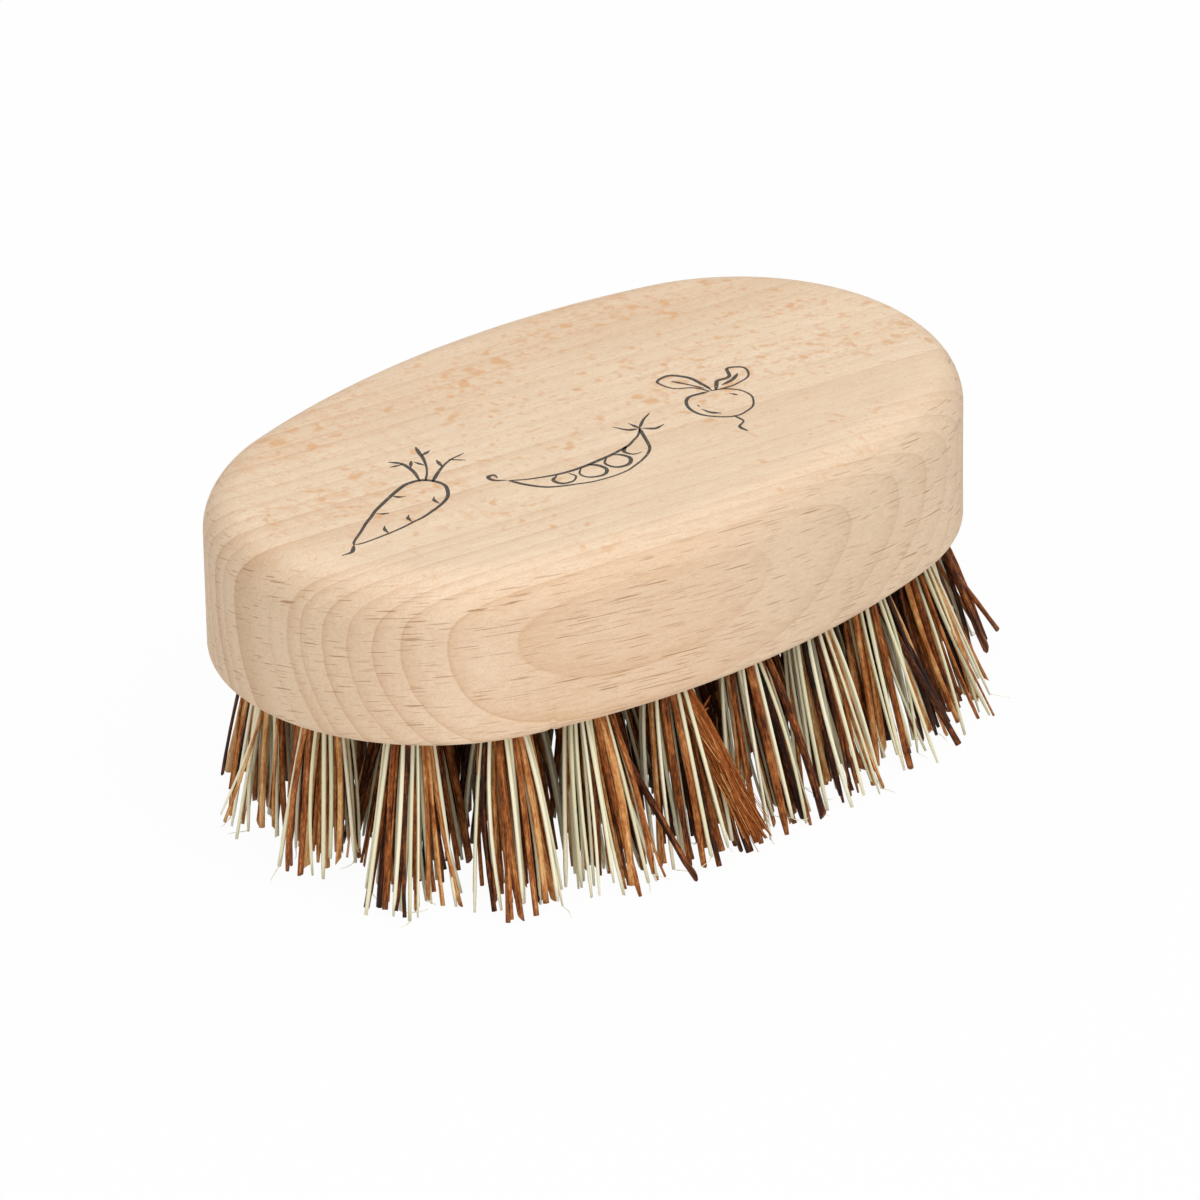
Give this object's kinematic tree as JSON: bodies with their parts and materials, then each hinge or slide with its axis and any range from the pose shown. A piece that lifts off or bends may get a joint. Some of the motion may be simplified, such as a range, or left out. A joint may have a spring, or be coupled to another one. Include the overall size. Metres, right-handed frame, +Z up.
{
  "type": "vegetable brush",
  "caption": "Oval hand brush for scrubbing vegetables: a rounded solid beech block with rows of stiff brown and pale plant-fibre tufts that flare outward, trimmed flat.",
  "frame": {"origin": "on the surface the bristle tips stand on, under the middle of the block", "axes": "+Z up from the bristle tips to the block's flat top, +X along the block's length, +Y across it"},
  "size_m": [0.1048, 0.0675, 0.043],
  "materials": {
    "beech": "matte",
    "fibre_mix": "matte",
    "anchor_wire": "satin"
  },
  "bodies": {
    "root": {"brush_block": "beech", "tuft_outer_01": "fibre_mix", "tuft_outer_02": "fibre_mix", "tuft_outer_03": "fibre_mix", "tuft_outer_04": "fibre_mix", "tuft_outer_05": "fibre_mix", "tuft_outer_06": "fibre_mix", "tuft_outer_07": "fibre_mix", "tuft_outer_08": "fibre_mix", "tuft_outer_09": "fibre_mix", "tuft_outer_10": "fibre_mix", "tuft_outer_11": "fibre_mix", "tuft_outer_12": "fibre_mix", "tuft_outer_13": "fibre_mix", "tuft_outer_14": "fibre_mix", "tuft_outer_15": "fibre_mix", "tuft_outer_16": "fibre_mix", "tuft_outer_17": "fibre_mix", "tuft_outer_18": "fibre_mix", "tuft_outer_19": "fibre_mix", "tuft_outer_20": "fibre_mix", "tuft_middle_01": "fibre_mix", "tuft_middle_02": "fibre_mix", "tuft_middle_03": "fibre_mix", "tuft_middle_04": "fibre_mix", "tuft_middle_05": "fibre_mix", "tuft_middle_06": "fibre_mix", "tuft_middle_07": "fibre_mix", "tuft_middle_08": "fibre_mix", "tuft_middle_09": "fibre_mix", "tuft_middle_10": "fibre_mix", "tuft_middle_11": "fibre_mix", "tuft_middle_12": "fibre_mix", "tuft_middle_13": "fibre_mix", "tuft_middle_14": "fibre_mix", "tuft_centre_01": "fibre_mix", "tuft_centre_02": "fibre_mix", "tuft_centre_03": "fibre_mix", "tuft_centre_04": "fibre_mix", "tuft_centre_05": "fibre_mix", "anchors_outer": "anchor_wire", "anchors_middle": "anchor_wire", "anchors_centre": "anchor_wire"}
  },
  "joints": []
}
